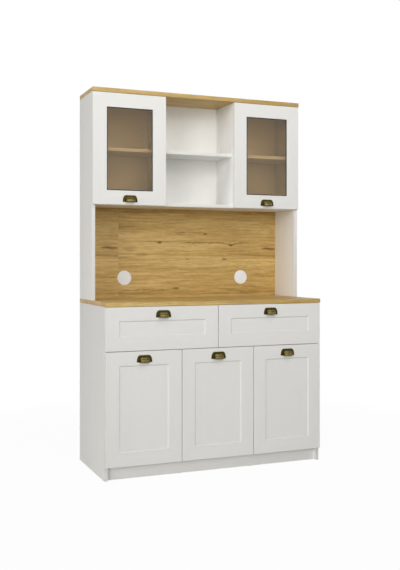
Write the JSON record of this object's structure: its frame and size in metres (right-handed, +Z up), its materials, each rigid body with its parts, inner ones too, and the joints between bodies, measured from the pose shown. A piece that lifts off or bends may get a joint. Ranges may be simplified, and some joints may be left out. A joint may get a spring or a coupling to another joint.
{
  "type": "coffee bar cabinet",
  "caption": "Tall coffee bar cabinet: base with drawers over doors, worktop niche with oak splashback, and a hutch with an open bay between glass doors.",
  "frame": {"origin": "on the floor, at the middle of the overall box in plan", "axes": "+Z up, -Y towards the front with the doors and drawers, +X to the right seen from the front"},
  "size_m": [1.2, 0.5326, 1.976],
  "materials": {
    "white_board": "white wood-grain foil on particle board",
    "oak_board": "oak decor foil, satin",
    "thin_back": "white faced fibreboard",
    "front_foil": "white wood-grain foil on fibreboard",
    "drawer_board": "white foil on particle board",
    "bronze_glass": "bronze tinted, polished",
    "gasket": "matt",
    "antique_brass": "antiqued, lacquered",
    "hinge_steel": "nickel plated",
    "runner_steel": "zinc plated",
    "white_plastic": "moulded, matt",
    "glide_plastic": "moulded"
  },
  "bodies": {
    "cabinet": {"base_left_side": "white_board", "base_right_side": "white_board", "base_dividers": "white_board", "base_bottom": "white_board", "drawer_deck": "white_board", "drawer_divider": "white_board", "plinth": "white_board", "base_shelves": "white_board", "hutch_left_side": "white_board", "hutch_right_side": "white_board", "hutch_bottom": "white_board", "hutch_left_divider": "white_board", "hutch_right_divider": "white_board", "hutch_shelves": "white_board", "worktop": "oak_board", "hutch_top": "oak_board", "splashback": "oak_board", "base_back": "thin_back", "hutch_back": "thin_back", "cable_sleeves": "white_plastic", "cabinet_runners": "runner_steel", "hinge_arms": "hinge_steel", "shelf_pins": "white_plastic", "foot_glides": "glide_plastic"},
    "left_drawer": {"left_drawer_frame": "front_foil", "left_drawer_panel": "front_foil", "left_drawer_pull": "antique_brass", "left_drawer_box": "drawer_board", "left_drawer_bottom": "thin_back", "left_drawer_runners": "runner_steel"},
    "right_drawer": {"right_drawer_frame": "front_foil", "right_drawer_panel": "front_foil", "right_drawer_pull": "antique_brass", "right_drawer_box": "drawer_board", "right_drawer_bottom": "thin_back", "right_drawer_runners": "runner_steel"},
    "left_door": {"left_door_frame": "front_foil", "left_door_panel": "front_foil", "left_door_pull": "antique_brass", "left_door_hinge_cups": "hinge_steel"},
    "middle_door": {"middle_door_frame": "front_foil", "middle_door_panel": "front_foil", "middle_door_pull": "antique_brass", "middle_door_hinge_cups": "hinge_steel"},
    "right_door": {"right_door_frame": "front_foil", "right_door_panel": "front_foil", "right_door_pull": "antique_brass", "right_door_hinge_cups": "hinge_steel"},
    "left_glass_door": {"left_glass_door_frame": "front_foil", "left_glass_door_pane": "bronze_glass", "left_glass_door_gasket": "gasket", "left_glass_door_pull": "antique_brass", "left_glass_door_hinge_cups": "hinge_steel"},
    "right_glass_door": {"right_glass_door_frame": "front_foil", "right_glass_door_pane": "bronze_glass", "right_glass_door_gasket": "gasket", "right_glass_door_pull": "antique_brass", "right_glass_door_hinge_cups": "hinge_steel"},
    "left_cable_cap": {"left_cable_cap": "white_plastic"},
    "right_cable_cap": {"right_cable_cap": "white_plastic"}
  },
  "joints": [
    {"name": "left_drawer_slide", "type": "slide", "parent": "cabinet", "child": "left_drawer", "axis": [0, -1, 0], "range_m": [0, 0.29]},
    {"name": "right_drawer_slide", "type": "slide", "parent": "cabinet", "child": "right_drawer", "axis": [0, -1, 0], "range_m": [0, 0.29]},
    {"name": "left_door_hinge", "type": "hinge", "parent": "cabinet", "child": "left_door", "pos_m": [-0.5955, -0.24175, 0.3515], "axis": [0, 0, -1], "range_deg": [0, 100]},
    {"name": "middle_door_hinge", "type": "hinge", "parent": "cabinet", "child": "middle_door", "pos_m": [-0.1955, -0.24175, 0.3515], "axis": [0, 0, -1], "range_deg": [0, 100]},
    {"name": "right_door_hinge", "type": "hinge", "parent": "cabinet", "child": "right_door", "pos_m": [0.5955, -0.24175, 0.3515], "axis": [0, 0, 1], "range_deg": [0, 100]},
    {"name": "left_glass_door_hinge", "type": "hinge", "parent": "cabinet", "child": "left_glass_door", "pos_m": [-0.5955, -0.00375, 1.66278], "axis": [0, 0, -1], "range_deg": [0, 100]},
    {"name": "right_glass_door_hinge", "type": "hinge", "parent": "cabinet", "child": "right_glass_door", "pos_m": [0.5955, -0.00375, 1.66278], "axis": [0, 0, 1], "range_deg": [0, 100]},
    {"name": "left_cap_pull", "type": "slide", "parent": "cabinet", "child": "left_cable_cap", "axis": [0, -1, 0], "range_m": [0, 0.06]},
    {"name": "right_cap_pull", "type": "slide", "parent": "cabinet", "child": "right_cable_cap", "axis": [0, -1, 0], "range_m": [0, 0.06]}
  ]
}
